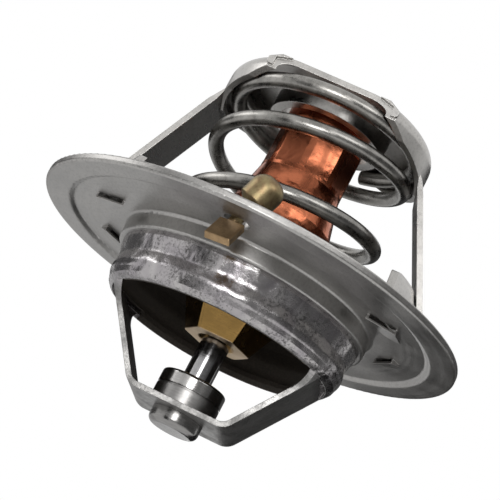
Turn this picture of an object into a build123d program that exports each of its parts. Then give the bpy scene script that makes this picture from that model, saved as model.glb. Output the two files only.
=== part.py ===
from build123d import *
import math
import os

# Engine thermostat, millimetres. Z is the thermostat axis and z = 0 the middle of the flange rim;
# +Z runs to the piston anchor, and the bridge arms and the cage legs lie along X.

# flange
rim_r = 33.5
plate_t = 1.2
rim_band = 4.0
step_drop = 0.5
step_run = 0.7
neck_r = 20.0
neck_wall = 0.8
neck_top = 2.8

# piston bridge: a drawn cup, two arms and the anchor plate in one sheet
sheet_t = 0.8
skirt_top = 3.3
waist_r = 18.65
waist_z = 5.5
bulge_r = 18.85
bulge_z = 7.1
window_r = 17.4
cup_top = 9.75
arm_half = 6.4
arm_flare = 3.2
arm_flare_h = 4.6
arm_foot_s = 16.6
arm_foot_z = 9.53
anchor_z = 22.25
anchor_s = 7.6
anchor_bend_r = 1.8

# rubber lining that carries the valve seat
liner_t = 0.8
liner_lip = 0.35
seat_t = 0.5
seat_overlap = 0.2
lip_overlap = 1.0

# piston and its anchor
piston_r = 2.2
collar_r = 5.0
collar_z = 16.8
washer_z = 18.9
rivet_r = 3.9
rivet_h = 2.4
piston_tip_z = -13.4
running_gap = 0.06

# wax element
guide_face_z = 10.14
guide_face_r = 5.3
guide_root_z = 3.2
guide_root_r = 8.4
guide_flange_r = 8.8
guide_flange_z = -0.4
stub_r = 6.9
stub_end_z = -2.4
sleeve_r = 4.2
sleeve_gap = 0.1
sleeve_floor = 1.6
capsule_r = 6.6
capsule_wall = 0.7
capsule_end_z = -29.8
flare_low_z = -17.4
flare_top_z = -10.9
flare_r = 8.15
crimp_r = 9.7
flat_apothem = 6.28
flat_low_z = -24.9
flat_top_z = -18.0

# valve
seat_gap = 0.02
disc_t = 1.0
disc_r = 20.4
disc_skirt = 1.5
clip_r = 9.6
clip_t = 0.8

# cage behind the flange
cage_t = 0.9
cage_floor_z = -30.2
cage_r = 16.9
cage_half = 13.4
cage_corner_r = 1.5
cage_edge_h = 2.6
cage_edge_rise = 1.6
cage_edge_run = 2.2
ear_h = 2.3
ear_run = 3.4
shoulder_z = -23.6
shoulder_run = 1.4
shoulder_drop = 1.2
leg_half = 4.8
leg_in = 2.11
leg_step = 0.1
leg_low_z = -24.4
leg_root = 1.6
leg_joint = 1.2
foot_in = 0.8
foot_z = -8.0
foot_hip = 0.5
foot_wing = 4.2
foot_tip_at = 31.0
foot_end_at = 38.0
foot_corner_r = 1.2
eye_wall_r = 9.3
eye_h = 2.8
eye_gap = 1.1

# holding louvres pressed up from the flange, and the cage tabs hooked inside them
louvre_in = 0.3
louvre_rise = 0.75
louvre_wall = 0.3
near_at = -23.5
far_at = 14.0
tab_half = 1.2
tab_in = 0.34
tab_turn = 1.5
tab_top = -0.7
tab_low = -4.8
# plans of the two kinds of louvre, outwards and around from their middle, with the mouth edge first
near_plan = [(1.7, -0.6), (-1.9, -3.9), (-1.8, 3.7), (0.3, 4.7)]
far_plan = [(-0.4, -2.9), (-2.0, 1.9), (1.5, 2.6), (1.1, -1.6)]

# main spring
wire_r = 1.2
coil_gap = 0.3
coil_rest = 0.01
spring_start = -605
spring_rise = -550
spring_open = -215
spring_close = 350
spring_end = 700

# vent pin
vent_hole_r = 1.9
vent_in = 4.15
vent_side = 1.6
vent_lean = 22.0
vent_lean_to = 22.0
vent_shank_r = 0.9
vent_shank_top = 1.7
vent_blade_w = 3.8
vent_blade_l = 4.15
vent_blade_t = 1.15
vent_blade_lean = 33.4
vent_blade_turn = 12.5
vent_blade_x = 0.27
vent_blade_y = -0.35
vent_blade_z = 1.28
vent_head_r = 2.5
vent_head_end = -7.0
vent_head_low = -2.9
vent_head_top = -2.0
vent_dome_r = 2.0

step_r = rim_r - rim_band
face_z = plate_t / 2
inner_z = face_z - step_drop
plate_low = inner_z - plate_t
seat_z = plate_low - sheet_t
disc_top = seat_z - seat_t - seat_gap
cup_r = neck_r - neck_wall
seat_r = disc_r + seat_overlap
lip_r = seat_r + lip_overlap
leg_low_s = cage_r + leg_step
leg_slope = (step_r - leg_in - leg_low_s) / (plate_low - leg_low_z)
foot_r = leg_low_s + leg_slope * (foot_z - leg_low_z) - foot_in
tab_r = foot_r + leg_slope * (tab_low - foot_z) - tab_in
louvre_r = tab_r - louvre_in
coil_r = cage_r - cage_t - coil_gap - wire_r
spot_a = math.radians(vent_side - 90)
vent_x = (step_r - vent_in) * math.cos(spot_a)
vent_y = (step_r - vent_in) * math.sin(spot_a)


def loop(points, rounds=()):
    """Closed face in the XZ plane; rounds lists (x, z, radius) for the corners to soften."""
    with BuildSketch(Plane.XZ) as sk:
        with BuildLine():
            Polyline(*points, close=True)
        make_face()
        for x, z, r in rounds:
            fillet(sk.vertices().sort_by_distance((x, z, 0))[0], r)
    return sk.sketch


def turned(points, rounds=()):
    return revolve(loop(points, rounds), Axis.Z)


def tube(outer, inner, low, high):
    ring = Cylinder(outer, high - low) - Cylinder(inner, high - low)
    return Pos(0, 0, (low + high) / 2) * ring


def slab(x0, x1, y0, y1, z0, z1):
    return Pos((x0 + x1) / 2, (y0 + y1) / 2, (z0 + z1) / 2) * Box(x1 - x0, y1 - y0, z1 - z0)


def both(shape):
    """The shape and its twin on the other side of the axis."""
    return [shape, Rot(0, 0, 180) * shape]


def louvre(plan, inset, low):
    """Tongue over a four-cornered plan: highest along its mouth and level with the flange at its back."""
    a, b, c, d = [Vector(x, y) for x, y in plan]
    mouth = (b - a).normalized()
    back = Vector(mouth.Y, -mouth.X)
    run = ((c + d) * 0.5 - a).dot(back)
    middle = (a + b + c + d) * 0.25
    corners = [
        a + mouth * inset - back * inset / 4,
        b - mouth * inset - back * inset / 4,
        c + (middle - c).normalized() * inset,
        d + (middle - d).normalized() * inset,
    ]
    with BuildSketch(Plane.XY.offset(low)) as sk:
        with BuildLine():
            Polyline(*[(p.X, p.Y) for p in corners], close=True)
        make_face()
    lip = (a.X, a.Y, inner_z + louvre_rise - inset)
    top = Plane(origin=lip, x_dir=mouth, z_dir=Vector(back.X * louvre_rise, back.Y * louvre_rise, run))
    below = top.location * Pos(0, 0, -rim_r) * Box(2 * rim_r, 2 * rim_r, 2 * rim_r)
    return extrude(sk.sketch, 2 * plate_t + louvre_rise) & below


def cup_outline(offset):
    """Points of the cup wall, offset inwards from its outer face."""
    return [
        (cup_r - offset, skirt_top),
        (cup_r - 0.25 - offset, skirt_top + 1.0),
        (waist_r - offset, waist_z),
        (bulge_r - offset, bulge_z),
        (bulge_r - 0.25 - offset, bulge_z + 1.1),
    ]


def wall_face(outer, inner):
    """Face between two open wall lines that run from the bottom to the top."""
    with BuildSketch(Plane.XZ) as sk:
        with BuildLine():
            Spline(*outer)
            Polyline(outer[-1], inner[-1])
            Spline(*inner)
            Polyline(inner[0], outer[0])
        make_face()
    return sk.sketch


# ---------------------------------------------------------------- flange
def make_flange():
    body = turned(
        [
            (cup_r, neck_top),
            (neck_r, neck_top),
            (neck_r, inner_z),
            (step_r - step_run, inner_z),
            (step_r, face_z),
            (rim_r, face_z),
            (rim_r, -face_z),
            (step_r, -face_z),
            (step_r - step_run, plate_low),
            (cup_r, plate_low),
        ],
        [
            (neck_r, neck_top, 0.35),
            (neck_r, inner_z, 0.5),
            (rim_r, face_z, 0.4),
            (rim_r, -face_z, 0.25),
            (step_r, face_z, 0.8),
            (step_r - step_run, inner_z, 0.8),
        ],
    )
    for plan, at in ((near_plan, near_at), (far_plan, far_at)):
        place = Rot(0, 0, at) * Pos(louvre_r, 0, 0)
        tongue = place * louvre(plan, 0, inner_z - plate_t / 2)
        hollow = place * louvre(plan, louvre_wall, plate_low - plate_t / 2)
        body = body + tongue - hollow
        body = body + mirror(tongue, Plane.YZ) - mirror(hollow, Plane.YZ)
    body -= Pos(vent_x, vent_y, 0) * Cylinder(vent_hole_r, 8)
    return body


# ---------------------------------------------------------------- bridge
def arm_side(inset):
    """Side line of the right arm from its foot to the anchor plate, inset through the sheet."""
    rise = anchor_z - arm_foot_z
    run = arm_foot_s - anchor_s
    length = math.hypot(rise, run)
    top = anchor_z - inset
    start = (arm_foot_s - inset * rise / length, arm_foot_z - inset * run / length)
    along = (top - start[1]) / rise
    return start, (start[0] - along * run, top)


def arm_front():
    """Front view of both arms: a strip that widens into the cup on an arc."""
    wide = arm_half + arm_flare
    low = cup_top - sheet_t
    high = low + arm_flare_h
    dip = (arm_half + arm_flare * 0.22, low + arm_flare_h * 0.42)
    with BuildSketch(Plane.YZ) as sk:
        with BuildLine():
            Polyline((-wide, low), (wide, low))
            ThreePointArc((wide, low), dip, (arm_half, high))
            Polyline(
                (arm_half, high),
                (arm_half, anchor_z + 1),
                (-arm_half, anchor_z + 1),
                (-arm_half, high),
            )
            ThreePointArc((-arm_half, high), (-dip[0], dip[1]), (-wide, low))
        make_face()
    return extrude(sk.sketch, rim_r, both=True)


def make_bridge():
    skirt = tube(cup_r, cup_r - sheet_t, seat_z, skirt_top)
    lip = tube(lip_r, cup_r - sheet_t, seat_z, plate_low)
    outer = cup_outline(0)
    inner = cup_outline(sheet_t)
    wall = revolve(wall_face(outer, inner), Axis.Z)
    shoulder = turned(
        [
            outer[-1],
            (bulge_r - 0.5, cup_top - 0.8),
            (bulge_r - 0.95, cup_top - 0.25),
            (window_r, cup_top),
            (window_r - 0.15, cup_top - sheet_t),
            (bulge_r - 1.5, cup_top - sheet_t - 0.35),
            inner[-1],
        ]
    )
    (s0, z0), (s1, z1) = arm_side(0)
    (s2, z2), (s3, z3) = arm_side(sheet_t)
    strip = loop(
        [(s0 + 0.35, z0 - 0.5), (s1, z1), (0, z1), (0, z3), (s3, z3), (s2 + 0.35, z2 - 0.5)],
        [(s1, z1, anchor_bend_r + sheet_t), (s3, z3, anchor_bend_r)],
    )
    arm = extrude(strip, arm_half, both=True)
    # beside the flat strip the sheet follows the round of the cup
    lift = arm_flare_h + 0.2
    low_r = math.hypot(s0, arm_half) + 0.3
    high_s = s0 - (s0 - s1) * lift / (z1 - z0)
    high_r = math.hypot(high_s, arm_half)
    skin = (s0 - s2) * 1.2
    web = turned(
        [
            (low_r, z0 - 0.45),
            (high_r, z0 + lift),
            (high_r - skin, z0 + lift),
            (low_r - skin, z0 - 0.45),
        ]
    )
    front = arm_front()
    web &= front
    cheek = slab(0, rim_r, -rim_r, rim_r, 0, rim_r) - slab(0, rim_r, -arm_half, arm_half, 0, rim_r)
    body = skirt + lip + wall + shoulder
    for twin in both(arm & front):
        body = body + twin
    for twin in both(web & cheek):
        body = body + twin
    body -= Pos(0, 0, anchor_z) * Cylinder(piston_r, 4 * sheet_t)
    return body


def make_liner():
    outer = cup_outline(sheet_t)
    inner = cup_outline(sheet_t + liner_t)
    wall = revolve(wall_face(outer, inner), Axis.Z)
    low = tube(cup_r - sheet_t, cup_r - sheet_t - liner_t, seat_z, outer[0][1])
    seat = tube(seat_r, cup_r - sheet_t - liner_t, seat_z - seat_t, seat_z)
    # the lining covers the cut edge of the two windows
    edge = turned(
        [
            outer[-1],
            (bulge_r - 1.5, cup_top - sheet_t - 0.35),
            (window_r - 0.15, cup_top - sheet_t),
            (window_r, cup_top),
            (window_r - liner_lip, cup_top),
            (window_r - liner_lip - 0.15, cup_top - sheet_t),
            inner[-1],
        ]
    )
    clear = arm_half + arm_flare + 0.1
    for side in (-1, 1):
        window = slab(-neck_r, neck_r, -neck_r / 2, neck_r / 2, 0, cup_top + 1)
        wall += edge & Pos(0, side * (clear + neck_r / 2), 0) * window
    return wall + low + seat


# ---------------------------------------------------------------- piston anchor
def make_piston():
    pin = Pos(0, 0, (piston_tip_z + anchor_z) / 2) * Cylinder(piston_r, anchor_z - piston_tip_z)
    return chamfer(pin.edges().group_by(Axis.Z)[0], 0.5)


def make_collar():
    ring = tube(collar_r, piston_r, collar_z, washer_z)
    end = ring.edges().filter_by(GeomType.CIRCLE).sort_by(Axis.Z)[0:2]
    return fillet(end.sort_by(SortBy.RADIUS)[-1:], 0.45)


def make_washer():
    body = tube(collar_r, piston_r, washer_z, anchor_z - sheet_t)
    groove = tube(collar_r + 1, collar_r - 0.22, washer_z, washer_z + 0.3)
    return body - groove


def make_rivet():
    return turned(
        [
            (0, anchor_z),
            (rivet_r, anchor_z),
            (rivet_r, anchor_z + rivet_h),
            (0, anchor_z + rivet_h),
        ],
        [(rivet_r, anchor_z + rivet_h, rivet_h * 0.45)],
    )


# ---------------------------------------------------------------- wax element
def hexagon(r, z):
    with BuildSketch(Plane.XY.offset(z)) as sk:
        RegularPolygon(r, 6)
    return sk.sketch


def make_guide():
    cone = loft([hexagon(guide_root_r, guide_root_z), hexagon(guide_face_r, guide_face_z)])
    cone &= turned(
        [
            (0, guide_root_z),
            (guide_root_r, guide_root_z),
            (guide_face_r - 0.15, guide_face_z),
            (0, guide_face_z),
        ]
    )
    body = cone + tube(guide_flange_r, piston_r, guide_flange_z, guide_root_z)
    body += tube(stub_r, piston_r, stub_end_z, guide_flange_z)
    bore = piston_r + running_gap
    body -= Pos(0, 0, guide_face_z) * Cylinder(bore, 60)
    body -= Pos(0, 0, guide_face_z - 0.35) * Cone(bore, bore + 0.7, 0.7)
    return body


def make_sleeve():
    bore = piston_r + sleeve_gap
    floor_z = piston_tip_z - sleeve_gap
    return turned(
        [
            (0, floor_z),
            (bore, floor_z),
            (bore, stub_end_z),
            (stub_r, stub_end_z),
            (stub_r, stub_end_z - 1.0),
            (sleeve_r, stub_end_z - 1.0),
            (sleeve_r, floor_z - sleeve_floor),
            (0, floor_z - sleeve_floor),
        ],
        [(sleeve_r, floor_z - sleeve_floor, 1.2)],
    )


def make_capsule():
    inner = capsule_r - capsule_wall
    body = turned(
        [
            (0, capsule_end_z),
            (capsule_r, capsule_end_z),
            (capsule_r, flare_low_z),
            (flare_r, flare_top_z),
            (flare_r, disc_top),
            (crimp_r, disc_top),
            (crimp_r, guide_root_z + 0.7),
            (guide_root_r - 0.1, guide_root_z + 0.7),
            (guide_flange_r, guide_root_z),
            (guide_flange_r, guide_flange_z),
            (stub_r, guide_flange_z),
            (stub_r, stub_end_z - 1.0),
            (flare_r - capsule_wall, flare_top_z),
            (inner, flare_low_z),
            (inner, capsule_end_z + capsule_wall),
            (0, capsule_end_z + capsule_wall),
        ],
        [(capsule_r, capsule_end_z, 1.2), (crimp_r, guide_root_z + 0.7, 0.5)],
    )
    with BuildSketch(Plane.XY.offset(flat_low_z)) as sk:
        Circle(capsule_r + 1)
        RegularPolygon(flat_apothem, 8, major_radius=False, mode=Mode.SUBTRACT)
    return body - extrude(sk.sketch, flat_top_z - flat_low_z)


def make_wax():
    inner = capsule_r - capsule_wall
    floor_z = piston_tip_z - sleeve_gap - sleeve_floor
    hollow = Pos(0, 0, (floor_z + stub_end_z - 1.0) / 2) * Cylinder(sleeve_r, stub_end_z - 1.0 - floor_z)
    body = turned(
        [
            (0, capsule_end_z + capsule_wall),
            (inner, capsule_end_z + capsule_wall),
            (inner, flare_low_z),
            (flare_r - capsule_wall, flare_top_z),
            (stub_r, stub_end_z - 1.0),
            (0, stub_end_z - 1.0),
        ]
    )
    return body - hollow


# ---------------------------------------------------------------- valve
def make_disc():
    low = disc_top - disc_t
    return turned(
        [
            (flare_r, disc_top),
            (disc_r, disc_top),
            (disc_r, low - disc_skirt),
            (disc_r - disc_t, low - disc_skirt),
            (disc_r - disc_t, low),
            (flare_r, low),
        ],
        [(disc_r, disc_top, 1.2), (disc_r - disc_t, low, 0.3)],
    )


def make_clip():
    low = disc_top - disc_t - clip_t
    return tube(clip_r, flare_r, low, low + clip_t)


# ---------------------------------------------------------------- cage
def cage_cup():
    """Floor and drawn end walls, cut straight along both sides."""
    inner = cage_r - cage_t
    cup = turned(
        [
            (0, cage_floor_z),
            (cage_r, cage_floor_z),
            (cage_r, shoulder_z),
            (inner, shoulder_z),
            (inner, cage_floor_z + cage_t),
            (0, cage_floor_z + cage_t),
        ],
        [(cage_r, cage_floor_z, cage_corner_r + cage_t), (inner, cage_floor_z + cage_t, cage_corner_r)],
    )
    with BuildSketch(Plane.YZ) as sk:
        with BuildLine():
            Polyline(
                (-cage_half, cage_floor_z - cage_t),
                (-cage_half, cage_floor_z + cage_edge_h),
                (-cage_half + cage_edge_run, cage_floor_z + cage_edge_h + cage_edge_rise),
                (-leg_half - shoulder_run, shoulder_z - shoulder_drop),
                (0, shoulder_z),
                (leg_half + shoulder_run, shoulder_z - shoulder_drop),
                (cage_half - cage_edge_run, cage_floor_z + cage_edge_h + cage_edge_rise),
                (cage_half, cage_floor_z + cage_edge_h),
                (cage_half, cage_floor_z - cage_t),
                close=True,
            )
        make_face()
    cup &= extrude(sk.sketch, 2 * rim_r, both=True)
    eye = tube(eye_wall_r, capsule_r + eye_gap, cage_floor_z, cage_floor_z + cage_t + eye_h)
    return cup - Pos(0, 0, cage_floor_z) * Cylinder(eye_wall_r - cage_t / 4, 6 * cage_t) + eye


def cage_ear():
    """Folded corner where a drawn wall ends at the straight cut side, clear of the spring."""
    out = math.sqrt(cage_r * cage_r - cage_half * cage_half) + cage_t / 6
    top = cage_floor_z + ear_h
    fold = extrude(
        loop(
            [
                (out, cage_floor_z + cage_t * 1.4),
                (out, top),
                (out - cage_t * 1.1, top),
                (out - cage_t * 1.2, cage_floor_z + cage_t),
                (out - ear_run, cage_floor_z + cage_t / 4),
                (out - cage_t * 2, cage_floor_z + cage_t / 4),
            ],
            [(out, top, cage_t * 0.5), (out, cage_floor_z + cage_t * 1.4, cage_t * 0.5)],
        ),
        cage_t,
    )
    return Pos(0, -cage_half + cage_t / 3, 0) * fold


def cage_leg():
    """Flat leg that runs out from the cup to the flange."""
    skin = cage_t * math.hypot(1, leg_slope)
    rise = plate_low - leg_low_z
    root_z = shoulder_z - leg_root
    leg = extrude(
        loop(
            [
                (cage_r, root_z),
                (leg_low_s + leg_slope * leg_joint, leg_low_z + leg_joint),
                (leg_low_s + leg_slope * rise, plate_low),
                (leg_low_s + leg_slope * rise - skin, plate_low),
                (leg_low_s + leg_slope * leg_joint - skin, leg_low_z + leg_joint),
                (cage_r - cage_t, root_z),
            ]
        ),
        leg_half,
        both=True,
    )
    # its root grows out of the round of the cup
    spread = cage_r + (plate_low - root_z) * (leg_slope + 0.15)
    return leg & turned([(0, root_z), (cage_r, root_z), (spread, plate_low), (0, plate_low)])


def cage_foot():
    """Winged foot under the flange, on the same slope as the leg."""
    skin = cage_t * math.hypot(1, leg_slope)
    low_r = foot_r - leg_slope
    top_r = low_r + leg_slope * (plate_low - foot_z + 1)
    band = turned(
        [
            (low_r, foot_z - 1),
            (top_r, plate_low),
            (top_r - skin, plate_low),
            (low_r - skin, foot_z - 1),
        ]
    )
    tip = foot_r * math.sin(math.radians(foot_tip_at))
    end = foot_r * math.sin(math.radians(foot_end_at))
    with BuildSketch(Plane.YZ) as sk:
        with BuildLine():
            Polyline(
                (-end, plate_low),
                (-end, foot_z + foot_wing),
                (-tip, foot_z + foot_hip),
                (-leg_half, foot_z),
                (leg_half, foot_z),
                (tip, foot_z + foot_hip),
                (end, foot_z + foot_wing),
                (end, plate_low),
                close=True,
            )
        make_face()
        for y in (-tip, tip):
            fillet(sk.vertices().sort_by_distance((y, foot_z + foot_hip, 0))[0], foot_corner_r)
    return band & extrude(sk.sketch, 2 * rim_r)


def make_cage():
    body = cage_cup()
    for twin in both(cage_leg() + cage_foot()):
        body = body + twin
    tab = slab(tab_r - cage_t, tab_r, -tab_half, tab_half, tab_low, tab_top)
    for at in (near_at + tab_turn, far_at):
        hook = Rot(0, 0, at) * tab
        body = body + hook + mirror(hook, Plane.YZ)
    ear = cage_ear()
    for corner in both(ear) + both(mirror(ear, Plane.YZ)):
        body = body + corner
    return body


# ---------------------------------------------------------------- spring
def make_spring():
    floor_z = cage_floor_z + cage_t + coil_rest + wire_r
    top_z = disc_top - disc_t - wire_r
    knots = [
        (spring_start, floor_z),
        (spring_rise, floor_z),
        (spring_open, floor_z + 2 * wire_r + 1.0),
        (spring_close, top_z - 2 * wire_r - 0.7),
        (spring_end, top_z),
    ]
    points = []
    steps = 70
    for i in range(steps + 1):
        a = spring_start + (spring_end - spring_start) * i / steps
        z = 0
        for (a0, z0), (a1, z1) in zip(knots, knots[1:]):
            if a0 <= a <= a1:
                z = z0 + (z1 - z0) * (a - a0) / (a1 - a0)
        points.append((a, z))
    smooth = []
    for i, (a, z) in enumerate(points):
        near = points[max(0, i - 2): i + 3]
        mean = sum(p[1] for p in near) / len(near)
        level = z if i in (0, steps) else mean
        smooth.append((coil_r * math.cos(math.radians(a)), coil_r * math.sin(math.radians(a)), level))
    path = Edge.make_spline([Vector(*p) for p in smooth])
    start = Plane(origin=path @ 0, z_dir=path % 0)
    return sweep(start * Circle(wire_r), path=path, is_frenet=True)


# ---------------------------------------------------------------- vent pin
def make_vent():
    """Loose pin with a domed head below the flange and a flattened end above it."""
    head = turned(
        [
            (0, vent_head_end),
            (vent_head_r, vent_head_end),
            (vent_head_r, vent_head_low),
            (vent_shank_r * 1.6, vent_head_top),
            (0, vent_head_top),
        ],
        [(vent_head_r, vent_head_end, vent_dome_r), (vent_head_r, vent_head_low, 0.3)],
    )
    length = vent_shank_top - vent_head_top + 0.5
    shank = Pos(0, 0, vent_shank_top - length / 2) * Cylinder(vent_shank_r, length)
    lean = Rot(0, 0, vent_lean_to) * Rot(0, vent_lean, 0)
    blade = Pos(0, 0, vent_blade_l / 2) * Box(vent_blade_w, vent_blade_t, vent_blade_l)
    blade = fillet(blade.edges(), vent_blade_t * 0.15)
    tilt = Rot(0, 0, vent_blade_turn) * Rot(vent_blade_lean, 0, 0)
    pin = lean * (head + shank) + Pos(vent_blade_x, vent_blade_y, vent_blade_z) * tilt * blade
    return Pos(vent_x, vent_y, inner_z - plate_t / 2) * pin


os.makedirs("parts", exist_ok=True)
pieces = {
    "flange_plate": make_flange,
    "bridge_frame": make_bridge,
    "seat_liner": make_liner,
    "piston": make_piston,
    "piston_collar": make_collar,
    "collar_washer": make_washer,
    "piston_rivet": make_rivet,
    "guide_body": make_guide,
    "rubber_sleeve": make_sleeve,
    "wax_charge": make_wax,
    "capsule_cup": make_capsule,
    "valve_disc": make_disc,
    "disc_clip": make_clip,
    "rear_frame": make_cage,
    "main_spring": make_spring,
    "vent_pin": make_vent,
}
for name, make in pieces.items():
    shape = make()
    solids = shape.solids()
    print(name, len(solids), "solids", round(sum(s.volume for s in solids), 1), "mm3")
    export_step(shape, f"parts/{name}.step")
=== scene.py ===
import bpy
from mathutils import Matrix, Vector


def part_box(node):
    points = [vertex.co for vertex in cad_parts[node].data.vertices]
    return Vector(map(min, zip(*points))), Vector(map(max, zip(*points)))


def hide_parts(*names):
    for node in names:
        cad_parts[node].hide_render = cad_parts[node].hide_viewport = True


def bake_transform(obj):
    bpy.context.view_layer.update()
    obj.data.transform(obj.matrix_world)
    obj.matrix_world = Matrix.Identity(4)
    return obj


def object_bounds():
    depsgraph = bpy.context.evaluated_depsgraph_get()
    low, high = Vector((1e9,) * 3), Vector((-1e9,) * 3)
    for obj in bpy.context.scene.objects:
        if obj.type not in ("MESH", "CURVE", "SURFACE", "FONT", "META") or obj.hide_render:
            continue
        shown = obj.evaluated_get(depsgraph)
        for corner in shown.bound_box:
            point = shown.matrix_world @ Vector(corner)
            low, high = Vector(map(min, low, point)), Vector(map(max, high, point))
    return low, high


bl_info = {
    "name": "Engine thermostat",
    "version": (1, 0, 0),
    "blender": (4, 5, 0),
    "location": "View3D > Sidebar > Thermostat",
    "description": "Steel, brass and copper finishes for an engine thermostat, and the stage it is shown on",
    "category": "Object",
}

import math

import bmesh
import bpy
from bpy.props import FloatProperty, FloatVectorProperty, PointerProperty
from mathutils import Euler, Matrix, Vector

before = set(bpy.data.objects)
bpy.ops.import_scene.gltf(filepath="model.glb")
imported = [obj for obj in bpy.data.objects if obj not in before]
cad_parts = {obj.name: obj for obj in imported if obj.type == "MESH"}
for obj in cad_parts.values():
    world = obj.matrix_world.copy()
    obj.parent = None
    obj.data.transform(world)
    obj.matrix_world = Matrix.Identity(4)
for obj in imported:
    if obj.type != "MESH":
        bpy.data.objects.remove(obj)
cad_low, cad_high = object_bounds()

MM = 0.001

# heights on the thermostat's axis where a finish changes
CUP_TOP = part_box("seat_liner")[1].z
GUIDE_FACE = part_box("guide_body")[1].z
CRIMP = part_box("guide_body")[0].z

# edges look rounded to this radius
EDGE_RADIUS = 0.14 * MM
EDGE_SAMPLES = 6

# cosines between a face and its rounded edge: where the lighter edge starts, and where it is full; the edge
# is painted lighter as rubbed wear and as a painted highlight
WEAR_AND_GLINT_START = 0.995
WEAR_AND_GLINT_FULL = 0.9

# noise lies mostly inside these two ranges, so a span over one of them uses all its patches
EVEN = (0.35, 0.65)
WIDE = (0.3, 0.7)

# the colour sockets of a Mix node
MIX_FIRST = 6
MIX_SECOND = 7
MIX_RESULT = 2

# channel factors of the cup's cooler patches
COOL_CAST = (0.85, 0.83, 0.87)

# fixed colours beside the tints
FACED_BRASS = (0.50, 0.38, 0.24)
OLIVE_BRASS = (0.29, 0.235, 0.125)
BROWN_BRASS = (0.38, 0.26, 0.145)
BURNT_COPPER = (0.012, 0.009, 0.007)

# the spring's wire, and what its mesh is merged and shaded by
SEAM = 0.001 * MM
RIM_ANGLE = math.radians(30)

# how wide the floor is, how pale floor and world are, and how strongly the world lights
FLOOR_WIDTH = 6
PALE = 0.8
WORLD_STRENGTH = 0.55

# how far off the cards stand that show as reflections, and how far above the floor the low ones lie
FLAG_DISTANCE = 0.6
FLAG_LIFT = 2 * MM

# name, azimuth and elevation in degrees, width and height in metres, grey level, distance where it differs
FLAGS = (
    ("back flag", -23, 22, 0.6, 0.55, 0.02),
    ("back left flag", 36, 20, 0.6, 0.5, 0.62),
    ("front flag", 200, 9, 0.75, 0.34, 0.25),
    ("low back flag", -10, -6, 0.9, 0.16, 0.1),
    ("right flag", 262, 6, 1.1, 0.36, 0.15),
    ("front left flag", 146, 15, 0.22, 0.5, 0.05),
    ("left flag", 64, -3, 0.4, 0.2, 0.12, 0.5),
)

# name, centre, width and depth in metres, and grey level
FLOOR_FLAGS = (
    ("right floor flag", (-0.6, -0.12), 0.7, 0.9, 0.1),
    ("front floor flag", (-0.3, -0.6), 0.5, 0.6, 0.25),
    ("left floor flag", (0.30, -0.20), 0.2, 0.2, 0.05),
    ("back floor flag", (0.02, 0.55), 1.1, 0.7, 0.04),
)

# the camera: lens and sensor in millimetres, place in metres, turn about X, Y and Z in degrees
LENS = 108
SENSOR = 36
CAMERA_NEAR = 10 * MM
CAMERA_PLACE = (-0.037056, -0.210153, 0.060557)
CAMERA_TURN = (109.134, 153.446, -1.727)


# ---------------------------------------------------------------- settings
def tint(name, description, default):
    return FloatVectorProperty(
        name=name, description=description, default=default, subtype="COLOR", size=3, min=0, max=1
    )


def relief(name, description, default):
    return FloatProperty(name=name, description=description, default=default, min=0, unit="LENGTH")


def lamp_power(name, description, default):
    return FloatProperty(name=name, description=description, default=default, min=0, unit="POWER")


class THERMOSTAT_PG_finishes(bpy.types.PropertyGroup):
    flange_tint: tint("Flange", "Rolled steel of the flange", (0.365, 0.356, 0.344))
    cup_tint: tint("Cup", "Drawn steel of the cup", (0.37, 0.357, 0.355))
    arm_tint: tint("Arms", "Satin steel of the arms and the anchor plate", (0.26, 0.255, 0.248))
    cage_tint: tint("Cage", "Steel of the cage behind the flange", (0.44, 0.428, 0.41))
    spring_tint: tint("Spring", "Oil tempered spring wire", (0.31, 0.30, 0.282))
    piston_tint: tint("Piston", "Ground and polished piston", (0.36, 0.355, 0.36))
    collar_tint: tint("Collar", "Turned collar, its washer and the rivet head", (0.42, 0.41, 0.40))
    brass_tint: tint("Brass", "Hexagon guide of the wax element", (0.27, 0.165, 0.054))
    vent_tint: tint("Vent brass", "Oxidised brass of the vent pin", (0.28, 0.19, 0.105))
    copper_tint: tint("Copper", "Drawn copper capsule", (0.50, 0.158, 0.078))
    rubber_tint: tint("Rubber", "Moulded lining and sleeve", (0.032, 0.026, 0.020))
    wax_tint: tint("Wax", "Charge inside the capsule", (0.45, 0.30, 0.14))
    grain_depth: relief("Grain depth", "Depth of the grain rolled into the sheets", 0.006 * MM)
    wave_depth: relief("Wave depth", "Depth of the waves drawn into the cup", 0.4 * MM)
    dent_depth: relief("Dent depth", "Depth of the dents in the copper", 0.10 * MM)


class THERMOSTAT_PG_stage(bpy.types.PropertyGroup):
    floor_drop: FloatProperty(
        name="Floor",
        description="Distance from the flange down to the floor",
        default=0.13,
        min=-cad_low.z,
        unit="LENGTH",
    )
    key_power: lamp_power("Key light", "Power of the soft light in front, level with the flange", 1.1)
    low_power: lamp_power("Low light", "Power of the low light on the +X side", 0.15)
    front_low_power: lamp_power("Front low light", "Power of the low light in front, on the -X side", 0.09)


# ---------------------------------------------------------------- finishes
def blank_material(name):
    """A material with an empty node tree, and the socket that its surface goes into."""
    material = bpy.data.materials.new(name)
    material.use_nodes = True
    nodes = material.node_tree.nodes
    nodes.clear()
    return material, nodes.new("ShaderNodeOutputMaterial").inputs["Surface"]


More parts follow.
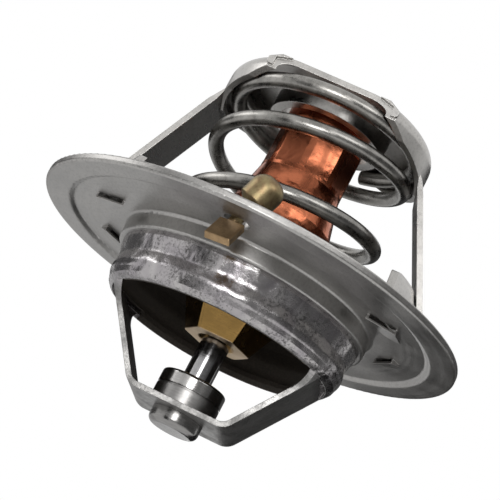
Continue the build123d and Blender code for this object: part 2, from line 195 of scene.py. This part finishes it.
class Finish:
    """One procedural material: a shader and the patterns that feed it."""

    def __init__(self, name, colour, roughness, metallic=1.0):
        self.material, surface = blank_material(name)
        self.tree = self.material.node_tree
        self.shader = self.add("BsdfPrincipled")
        self.feed(self.shader.outputs[0], surface)
        self.shader.inputs["Base Color"].default_value = (*colour, 1)
        self.shader.inputs["Roughness"].default_value = roughness
        self.shader.inputs["Metallic"].default_value = metallic
        self.where = self.add("TexCoord").outputs["Object"]
        parts = self.add("SeparateXYZ")
        self.feed(self.where, parts.inputs[0])
        self.x, self.y, self.z = parts.outputs
        soft = self.add("Bevel")
        soft.samples = EDGE_SAMPLES
        soft.inputs["Radius"].default_value = EDGE_RADIUS
        self.soft = soft.outputs[0]

    def add(self, kind):
        return self.tree.nodes.new("ShaderNode" + kind)

    def feed(self, value, socket):
        """Links a socket to another, or gives it a number or a colour."""
        if isinstance(value, bpy.types.NodeSocket):
            self.tree.links.new(value, socket)
        elif socket.type == "RGBA":
            socket.default_value = (*value, 1)
        else:
            socket.default_value = value

    def noise_at(self, place, scale=1, detail=2, roughness=0.5, distortion=0):
        """Noise over any coordinates."""
        node = self.add("TexNoise")
        self.feed(place, node.inputs["Vector"])
        self.feed(scale, node.inputs["Scale"])
        self.feed(detail, node.inputs["Detail"])
        self.feed(roughness, node.inputs["Roughness"])
        self.feed(distortion, node.inputs["Distortion"])
        return node.outputs["Fac"]

    def noise(self, size, squeeze=(1, 1, 1), **grain):
        """Patches of about this size in millimetres. A squeeze under 1 draws them out along that axis."""
        place = self.add("Mapping")
        place.inputs["Scale"].default_value = [factor / (size * MM) for factor in squeeze]
        self.feed(self.where, place.inputs["Vector"])
        return self.noise_at(place.outputs[0], **grain)

    def rings(self, size):
        """Turning marks round the axis, of about this size in millimetres."""
        place = self.add("CombineXYZ")
        self.feed(self.radius(), place.inputs[0])
        self.feed(self.z, place.inputs[1])
        return self.noise_at(place.outputs[0], scale=1 / (size * MM), detail=3)

    def calc(self, operation, first, second=0.0):
        node = self.add("Math")
        node.operation = operation
        self.feed(first, node.inputs[0])
        self.feed(second, node.inputs[1])
        return node.outputs[0]

    def plus(self, first, second):
        return self.calc("ADD", first, second)

    def times(self, first, second):
        return self.calc("MULTIPLY", first, second)

    def rest(self, share):
        """What a share leaves of 1."""
        return self.calc("SUBTRACT", 1.0, share)

    def radius(self):
        """Distance from the axis."""
        return self.calc("SQRT", self.plus(self.times(self.x, self.x), self.times(self.y, self.y)))

    def span(self, value, seen, given=(0, 1), smooth=False):
        """Turns one range of values into another, and holds what lies past its ends."""
        node = self.add("MapRange")
        if smooth:
            node.interpolation_type = "SMOOTHSTEP"
        self.feed(value, node.inputs["Value"])
        for socket, number in zip(("From Min", "From Max", "To Min", "To Max"), (*seen, *given)):
            self.feed(number, node.inputs[socket])
        return node.outputs["Result"]

    def above(self, low, high):
        """0 below one height on the axis and 1 above another, rising smoothly between them."""
        return self.span(self.z, (low, high), smooth=True)

    def mix(self, share, first, second):
        """The first colour where the share is 0, and the second where it is 1."""
        node = self.add("Mix")
        node.data_type = "RGBA"
        self.feed(share, node.inputs["Factor"])
        self.feed(first, node.inputs[MIX_FIRST])
        self.feed(second, node.inputs[MIX_SECOND])
        return node.outputs[MIX_RESULT]

    def bump(self, height, depth, under=None):
        """A relief this deep, over the rounded edges or over another relief."""
        node = self.add("Bump")
        self.feed(1, node.inputs["Strength"])
        self.feed(depth, node.inputs["Distance"])
        self.feed(height, node.inputs["Height"])
        self.feed(under or self.soft, node.inputs["Normal"])
        return node.outputs[0]

    def edges(self):
        """1 on the edges of a sheet, 0 on its faces; it marks where edges are painted lighter, as rubbed
        wear and as a painted highlight.
        """
        cosine = self.add("VectorMath")
        cosine.operation = "DOT_PRODUCT"
        self.feed(self.add("NewGeometry").outputs["Normal"], cosine.inputs[0])
        self.feed(self.soft, cosine.inputs[1])
        return self.span(cosine.outputs["Value"], (WEAR_AND_GLINT_START, WEAR_AND_GLINT_FULL))

    def colour(self, value):
        self.feed(value, self.shader.inputs["Base Color"])

    def rough(self, value):
        self.feed(value, self.shader.inputs["Roughness"])

    def normal(self, value):
        self.feed(value, self.shader.inputs["Normal"])


def cast(colour, factors):
    """A colour with each channel scaled by a factor of its own."""
    return tuple(channel * factor for channel, factor in zip(colour, factors))


def shade(colour, factor):
    """A colour made darker or lighter."""
    return cast(colour, (factor, factor, factor))


def rolled_steel(name, colour, grain, roughness=0.34):
    """Satin sheet with a fine rolled grain, clouds, dark specks and faint drawing rings."""
    steel = Finish(name, colour, roughness)
    cloud = steel.noise(9, detail=4, roughness=0.6)
    specks = steel.noise(0.5, squeeze=(1.6, 0.7, 1), detail=4, roughness=0.7)
    rings = steel.rings(1.1)
    tone = steel.mix(steel.span(cloud, EVEN), shade(colour, 0.86), shade(colour, 1.08))
    tone = steel.mix(steel.span(specks, (0.48, 0.66), (0, 0.5)), tone, shade(colour, 0.6))
    # edges painted lighter: rubbed wear and a painted highlight
    steel.colour(steel.mix(steel.edges(), tone, shade(colour, 1.2)))
    clouded = steel.span(cloud, WIDE, (roughness - 0.05, roughness + 0.06))
    steel.rough(steel.plus(clouded, steel.span(rings, EVEN, (-0.03, 0.03))))
    ring_depth = 1.4 * grain
    fine = steel.bump(steel.noise(0.22), grain)
    steel.normal(steel.bump(rings, ring_depth, fine))
    return steel.material


def drawn_steel(name, cup, arm, grain, wave_depth):
    """The bridge: mottled bright steel where the cup is drawn, satin on the arms and the anchor plate."""
    steel = Finish(name, cup, roughness=0.2)
    arms = steel.above(CUP_TOP - 0.6 * MM, CUP_TOP + 1.2 * MM)
    drawn = steel.rest(arms)
    wave = steel.noise(3.6, squeeze=(1, 1, 0.7), detail=1.5, distortion=0.5)
    pits = steel.noise(0.4, detail=3, roughness=0.7)
    rubbed = steel.noise(2.4, squeeze=(1, 1, 0.7), detail=4, roughness=0.6)
    cloud = steel.noise(5, detail=3)
    worn = steel.times(steel.span(pits, (0.47, 0.60)), steel.span(rubbed, (0.42, 0.60)))
    bright = steel.mix(steel.span(wave, EVEN), cast(cup, COOL_CAST), shade(cup, 1.15))
    bright = steel.mix(worn, bright, shade(cup, 0.3))
    satin = steel.mix(steel.span(rubbed, (0.38, 0.62)), shade(arm, 0.74), shade(arm, 1.16))
    satin = steel.mix(steel.span(pits, (0.46, 0.62), (0, 0.6)), satin, shade(arm, 0.45))
    # edges painted twice as light in mottled patches: rubbed wear and a painted highlight
    edges = steel.times(steel.edges(), steel.span(rubbed, (0.38, 0.58), (0.15, 1)))
    steel.colour(steel.mix(edges, steel.mix(drawn, satin, bright), shade(arm, 2.0)))
    wet = steel.plus(steel.span(rubbed, (0.40, 0.65), (0.17, 0.28)), steel.times(worn, 0.2))
    dry = steel.plus(steel.span(rubbed, EVEN, (0.46, 0.30)), steel.span(cloud, WIDE, (0, 0.06)))
    steel.rough(steel.plus(steel.times(wet, drawn), steel.times(dry, arms)))
    pit_depth = 3 * grain
    fine = steel.bump(pits, pit_depth)
    steel.normal(steel.bump(steel.times(wave, drawn), wave_depth, fine))
    return steel.material


def spring_wire(name, colour):
    """Oil tempered wire: dark scale with rubbed patches."""
    wire = Finish(name, colour, roughness=0.27)
    scale = wire.noise(2.2, detail=5, roughness=0.65)
    specks = wire.noise(0.3)
    tone = wire.mix(wire.span(scale, (0.35, 0.68)), shade(colour, 0.62), shade(colour, 1.2))
    wire.colour(wire.mix(wire.span(specks, (0.6, 0.75), (0, 0.5)), tone, shade(colour, 0.4)))
    wire.rough(wire.span(scale, WIDE, (0.22, 0.36)))
    wire.normal(wire.bump(specks, depth=0.006 * MM))
    return wire.material


def turned_steel(name, colour, roughness, depth):
    """Turned and ground bar with marks this deep round the axis."""
    bar = Finish(name, colour, roughness)
    marks = bar.noise(0.16, squeeze=(0.12, 0.12, 1))
    cloud = bar.noise(1.5, detail=3)
    bar.colour(bar.mix(bar.span(marks, EVEN), shade(colour, 0.92), shade(colour, 1.06)))
    clouded = bar.span(cloud, WIDE, (roughness - 0.03, roughness + 0.04))
    bar.rough(bar.plus(clouded, bar.span(marks, (0.4, 0.6), (-0.02, 0.02))))
    bar.normal(bar.bump(marks, depth))
    return bar.material


def guide_brass(name, colour):
    """Hexagon brass: milled flats, stains and a paler faced end."""
    brass = Finish(name, colour, roughness=0.24)
    marks = brass.noise(0.14, squeeze=(0.15, 0.15, 1))
    stain = brass.noise(2.4, detail=4)
    faced = brass.above(GUIDE_FACE - 0.14 * MM, GUIDE_FACE - 0.04 * MM)
    tone = brass.mix(brass.span(stain, EVEN), shade(colour, 0.82), shade(colour, 1.15))
    tone = brass.mix(brass.span(marks, (0.45, 0.7), (0, 0.4)), tone, shade(colour, 0.65))
    brass.colour(brass.mix(faced, tone, FACED_BRASS))
    brass.rough(brass.plus(brass.span(stain, WIDE, (0.18, 0.30)), brass.times(faced, 0.2)))
    brass.normal(brass.bump(marks, depth=0.012 * MM))
    return brass.material


def vent_brass(name, colour):
    """Tumbled brass, gone olive below the flange and brown above it."""
    brass = Finish(name, colour, roughness=0.36)
    stain = brass.noise(1.2, detail=5, roughness=0.6)
    specks = brass.noise(0.25)
    stained = brass.span(stain, EVEN)
    olive = brass.mix(stained, shade(colour, 0.70), OLIVE_BRASS)
    brown = brass.mix(stained, shade(colour, 0.95), BROWN_BRASS)
    tone = brass.mix(brass.above(0, 0.6 * MM), olive, brown)
    brass.colour(brass.mix(brass.span(specks, (0.55, 0.7), (0, 0.35)), tone, shade(colour, 0.5)))
    brass.rough(brass.span(stain, WIDE, (0.34, 0.46)))
    brass.normal(brass.bump(specks, depth=0.012 * MM))
    return brass.material


def capsule_copper(name, colour, dent_depth):
    """Drawn copper with burnt streaks, stains, dents and a dark crimped collar."""
    copper = Finish(name, colour, roughness=0.26)
    streak = copper.noise(3.4, squeeze=(1, 1, 0.4), detail=3, distortion=0.6)
    stain = copper.noise(1.0, detail=4)
    dents = copper.noise(2.6, distortion=0.5)
    tone = copper.mix(copper.span(streak, (0.34, 0.60)), shade(colour, 0.60), shade(colour, 1.1))
    tone = copper.mix(copper.span(stain, (0.55, 0.75), (0, 0.3)), tone, shade(colour, 0.4))
    copper.colour(copper.mix(copper.above(CRIMP - 1.2 * MM, CRIMP), tone, BURNT_COPPER))
    copper.rough(copper.span(streak, EVEN, (0.30, 0.19)))
    fine = copper.bump(stain, depth=0.02 * MM)
    copper.normal(copper.bump(dents, dent_depth, fine))
    return copper.material


def moulded_rubber(name, colour):
    """Matt black rubber with a fine speckle."""
    rubber = Finish(name, colour, roughness=0.62, metallic=0)
    speck = rubber.noise(0.3, detail=3)
    rubber.colour(rubber.mix(rubber.span(speck, (0.4, 0.7)), colour, shade(colour, 2.0)))
    rubber.rough(rubber.span(speck, WIDE, (0.55, 0.75)))
    rubber.normal(rubber.bump(speck, depth=0.01 * MM))
    return rubber.material


def packed_wax(name, colour):
    """Crumbly wax, pressed into the capsule."""
    wax = Finish(name, colour, roughness=0.55, metallic=0)
    crumb = wax.noise(0.6, detail=4)
    wax.colour(wax.mix(wax.span(crumb, EVEN), shade(colour, 0.7), shade(colour, 1.15)))
    wax.normal(wax.bump(crumb, depth=0.05 * MM))
    return wax.material


def dress(node, material):
    """Gives a CAD node its finish."""
    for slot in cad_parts[node].material_slots:
        slot.material = material


# ---------------------------------------------------------------- closing spring
def merged_copy(node, name):
    """A CAD node's mesh in an object of its own, with its seams merged and its rims kept sharp."""
    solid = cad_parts[node]
    mesh = solid.data.copy()
    bm = bmesh.new()
    bm.from_mesh(mesh)
    bmesh.ops.remove_doubles(bm, verts=bm.verts, dist=SEAM)
    bm.to_mesh(mesh)
    bm.free()
    mesh.attributes.remove(mesh.attributes["custom_normal"])
    mesh.shade_smooth()
    mesh.set_sharp_from_angle(angle=RIM_ANGLE)
    copy = bpy.data.objects.new(name, mesh)
    copy.matrix_world = solid.matrix_world
    bpy.context.scene.collection.objects.link(copy)
    return copy


def shorten(spring):
    """Bakes the spring's place into its mesh."""
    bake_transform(spring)


# ---------------------------------------------------------------- stage
def grey(level):
    return (level, level, level, 1)


def direct_rays(tree):
    """1 for a camera, glossy or transmission ray."""
    path = tree.nodes.new("ShaderNodeLightPath")
    total = path.outputs["Is Camera Ray"]
    for other in ("Is Glossy Ray", "Is Transmission Ray"):
        add = tree.nodes.new("ShaderNodeMath")
        add.operation = "MAXIMUM"
        tree.links.new(total, add.inputs[0])
        tree.links.new(path.outputs[other], add.inputs[1])
        total = add.outputs[0]
    return total


def show_white(tree, lit, white, surface):
    """Lights the scene with one shader, and shows direct rays a white one."""
    white.inputs["Color"].default_value = grey(1)
    blend = tree.nodes.new("ShaderNodeMixShader")
    tree.links.new(direct_rays(tree), blend.inputs[0])
    tree.links.new(lit.outputs[0], blend.inputs[1])
    tree.links.new(white.outputs[0], blend.inputs[2])
    tree.links.new(blend.outputs[0], surface)


def card(name, centre, facing, width, height, up=(0, 0, 1)):
    """Flat card at centre, square to facing."""
    mesh = bpy.data.meshes.new(name)
    bm = bmesh.new()
    normal = Vector(facing).normalized()
    side = Vector(up).cross(normal).normalized()
    turn = Matrix((side, normal.cross(side), normal)).transposed().to_4x4()
    bmesh.ops.create_grid(bm, x_segments=1, y_segments=1, size=0.5)
    bmesh.ops.scale(bm, vec=(width, height, 1), verts=bm.verts)
    bmesh.ops.transform(bm, matrix=Matrix.Translation(centre) @ turn, verts=bm.verts)
    bm.to_mesh(mesh)
    bm.free()
    obj = bpy.data.objects.new(name, mesh)
    bpy.context.scene.collection.objects.link(obj)
    return obj


def level_card(name, centre, height, width, depth):
    """Card that lies flat at a height."""
    return card(name, (*centre, height), (0, 0, 1), width, depth, up=(0, 1, 0))


def toward(azimuth, elevation):
    """Direction from the thermostat; azimuth 0 is +Y and 90 is +X."""
    around, up = math.radians(azimuth), math.radians(elevation)
    return Vector((math.sin(around) * math.cos(up), math.cos(around) * math.cos(up), math.sin(up)))


def only_reflected(obj, level):
    """Makes a card show as nothing but a reflection in the metal, at a grey level of its own."""
    material, surface = blank_material(obj.name)
    tree = material.node_tree
    glow = tree.nodes.new("ShaderNodeEmission")
    glow.inputs["Color"].default_value = grey(level)
    tree.links.new(glow.outputs[0], surface)
    obj.data.materials.append(material)
    obj.visible_camera = False
    obj.visible_diffuse = False
    obj.visible_shadow = False


def flag(name, azimuth, elevation, width, height, level, distance=FLAG_DISTANCE):
    """A card that faces the thermostat."""
    direction = toward(azimuth, elevation)
    only_reflected(card(name, direction * distance, -direction, width, height), level)


def floor_flag(drop, name, centre, width, depth, level):
    """A card that lies just above the floor."""
    only_reflected(level_card(name, centre, FLAG_LIFT - drop, width, depth), level)


def lay_floor(drop):
    """Pale floor, this far below the flange."""
    floor = level_card("floor", (0, 0), -drop, FLOOR_WIDTH, FLOOR_WIDTH)
    material, surface = blank_material("pale floor")
    tree = material.node_tree
    matt = tree.nodes.new("ShaderNodeBsdfDiffuse")
    matt.inputs["Color"].default_value = grey(PALE)
    show_white(tree, matt, tree.nodes.new("ShaderNodeEmission"), surface)
    floor.data.materials.append(material)


def light_world():
    """Soft pale light from all round."""
    world = bpy.data.worlds.new("white studio")
    world.use_nodes = True
    tree = world.node_tree
    tree.nodes.clear()
    surface = tree.nodes.new("ShaderNodeOutputWorld").inputs["Surface"]
    around = tree.nodes.new("ShaderNodeBackground")
    around.inputs["Color"].default_value = grey(PALE)
    around.inputs["Strength"].default_value = WORLD_STRENGTH
    show_white(tree, around, tree.nodes.new("ShaderNodeBackground"), surface)
    bpy.context.scene.world = world


def soft_light(name, azimuth, elevation, size, power, distance):
    """Square lamp that faces the thermostat."""
    lamp = bpy.data.lights.new(name, "AREA")
    lamp.shape = "SQUARE"
    lamp.size = size
    lamp.energy = power
    obj = bpy.data.objects.new(name, lamp)
    direction = toward(azimuth, elevation)
    obj.location = direction * distance
    obj.rotation_euler = direction.to_track_quat("Z", "Y").to_euler()
    obj.visible_camera = False
    bpy.context.scene.collection.objects.link(obj)


def stand_camera():
    """The camera, looking at the bridge from in front and above."""
    data = bpy.data.cameras.new("camera")
    data.lens = LENS
    data.sensor_width = SENSOR
    data.clip_start = CAMERA_NEAR
    camera = bpy.data.objects.new("camera", data)
    turn = Euler([math.radians(angle) for angle in CAMERA_TURN])
    camera.matrix_world = Matrix.LocRotScale(CAMERA_PLACE, turn, None)
    bpy.context.scene.collection.objects.link(camera)
    bpy.context.scene.camera = camera


# ---------------------------------------------------------------- operators
class THERMOSTAT_OT_stage(bpy.types.Operator):
    """Pale floor, white world, soft lights, cards to reflect and the camera"""

    bl_idname = "thermostat.stage"
    bl_label = "Stage"

    def execute(self, context):
        stage = context.scene.thermostat_stage
        lay_floor(stage.floor_drop)
        light_world()
        soft_light("key light", 180, -2, size=0.19, power=stage.key_power, distance=0.55)
        soft_light("low light", 100, -26, size=0.14, power=stage.low_power, distance=0.25)
        soft_light("front low light", 213, -33, size=0.1, power=stage.front_low_power, distance=0.2)
        for row in FLAGS:
            flag(*row)
        for row in FLOOR_FLAGS:
            floor_flag(stage.floor_drop, *row)
        stand_camera()
        context.scene.view_settings.view_transform = "Standard"
        return {"FINISHED"}


class THERMOSTAT_OT_flange(bpy.types.Operator):
    """Rolled steel flange"""

    bl_idname = "thermostat.flange"
    bl_label = "Flange"

    def execute(self, context):
        looks = context.scene.thermostat_finishes
        dress("flange_plate", rolled_steel("flange steel", looks.flange_tint, looks.grain_depth))
        return {"FINISHED"}


class THERMOSTAT_OT_bridge(bpy.types.Operator):
    """Drawn cup with its two arms and the anchor plate"""

    bl_idname = "thermostat.bridge"
    bl_label = "Bridge"

    def execute(self, context):
        looks = context.scene.thermostat_finishes
        steel = drawn_steel(
            "drawn cup steel", looks.cup_tint, looks.arm_tint, looks.grain_depth, looks.wave_depth
        )
        dress("bridge_frame", steel)
        return {"FINISHED"}


class THERMOSTAT_OT_anchor(bpy.types.Operator):
    """Piston with its collar, washer and rivet head"""

    bl_idname = "thermostat.anchor"
    bl_label = "Piston anchor"

    def execute(self, context):
        looks = context.scene.thermostat_finishes
        collar = looks.collar_tint
        washer = shade(collar, 0.75)
        rivet = shade(collar, 0.58)
        dress("piston", turned_steel("piston steel", looks.piston_tint, roughness=0.13, depth=0.004 * MM))
        dress("piston_collar", turned_steel("collar steel", collar, roughness=0.17, depth=0.003 * MM))
        dress("collar_washer", turned_steel("washer steel", washer, roughness=0.34, depth=0.005 * MM))
        dress("piston_rivet", turned_steel("rivet steel", rivet, roughness=0.21, depth=0.004 * MM))
        return {"FINISHED"}


class THERMOSTAT_OT_element(bpy.types.Operator):
    """Wax element: brass guide, copper capsule, rubber sleeve and wax"""

    bl_idname = "thermostat.element"
    bl_label = "Wax element"

    def execute(self, context):
        looks = context.scene.thermostat_finishes
        dress("guide_body", guide_brass("guide brass", looks.brass_tint))
        dress("capsule_cup", capsule_copper("capsule copper", looks.copper_tint, looks.dent_depth))
        dress("rubber_sleeve", moulded_rubber("sleeve rubber", looks.rubber_tint))
        dress("wax_charge", packed_wax("packed wax", looks.wax_tint))
        return {"FINISHED"}


class THERMOSTAT_OT_valve(bpy.types.Operator):
    """Valve disc, its clip and the rubber seat lining, whose black inside the cup also stands in for the
    shade there
    """

    bl_idname = "thermostat.valve"
    bl_label = "Valve"

    def execute(self, context):
        looks = context.scene.thermostat_finishes
        disc = shade(looks.cage_tint, 0.8)
        dress("valve_disc", rolled_steel("valve steel", disc, looks.grain_depth, roughness=0.38))
        dress("disc_clip", rolled_steel("clip steel", looks.spring_tint, looks.grain_depth, roughness=0.3))
        # black rubber lining of the seat: a seal, and inside the cup a dark sheet in place of the shade
        # there
        dress("seat_liner", moulded_rubber("lining rubber and cup shade", looks.rubber_tint))
        return {"FINISHED"}


class THERMOSTAT_OT_cage(bpy.types.Operator):
    """Cage that holds the spring behind the flange"""

    bl_idname = "thermostat.cage"
    bl_label = "Cage"

    def execute(self, context):
        looks = context.scene.thermostat_finishes
        dress("rear_frame", rolled_steel("cage steel", looks.cage_tint, looks.grain_depth, roughness=0.30))
        return {"FINISHED"}


class THERMOSTAT_OT_spring(bpy.types.Operator):
    """Main spring, which closes up as the valve opens"""

    bl_idname = "thermostat.spring"
    bl_label = "Spring"

    def execute(self, context):
        looks = context.scene.thermostat_finishes
        dress("main_spring", spring_wire("spring wire", looks.spring_tint))
        spring = merged_copy("main_spring", "closing_spring")
        shorten(spring)
        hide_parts("main_spring")
        return {"FINISHED"}


class THERMOSTAT_OT_vent(bpy.types.Operator):
    """Vent pin through the flange"""

    bl_idname = "thermostat.vent"
    bl_label = "Vent pin"

    def execute(self, context):
        looks = context.scene.thermostat_finishes
        dress("vent_pin", vent_brass("vent brass", looks.vent_tint))
        return {"FINISHED"}


# in the order in which they run
STEPS = (
    THERMOSTAT_OT_stage,
    THERMOSTAT_OT_flange,
    THERMOSTAT_OT_bridge,
    THERMOSTAT_OT_anchor,
    THERMOSTAT_OT_element,
    THERMOSTAT_OT_valve,
    THERMOSTAT_OT_cage,
    THERMOSTAT_OT_spring,
    THERMOSTAT_OT_vent,
)


class THERMOSTAT_PT_build(bpy.types.Panel):
    """Lists the steps that build the scene"""

    bl_label = "Thermostat"
    bl_idname = "THERMOSTAT_PT_build"
    bl_space_type = "VIEW_3D"
    bl_region_type = "UI"
    bl_category = "Thermostat"

    def draw(self, context):
        for step in STEPS:
            self.layout.operator(step.bl_idname)


CLASSES = (THERMOSTAT_PG_finishes, THERMOSTAT_PG_stage, *STEPS, THERMOSTAT_PT_build)


def register():
    for cls in CLASSES:
        bpy.utils.register_class(cls)
    bpy.types.Scene.thermostat_finishes = PointerProperty(type=THERMOSTAT_PG_finishes)
    bpy.types.Scene.thermostat_stage = PointerProperty(type=THERMOSTAT_PG_stage)


def unregister():
    del bpy.types.Scene.thermostat_stage
    del bpy.types.Scene.thermostat_finishes
    for cls in reversed(CLASSES):
        bpy.utils.unregister_class(cls)


def main():
    register()
    for step in STEPS:
        area, name = step.bl_idname.split(".")
        getattr(getattr(bpy.ops, area), name)()


if __name__ == "__main__":
    main()
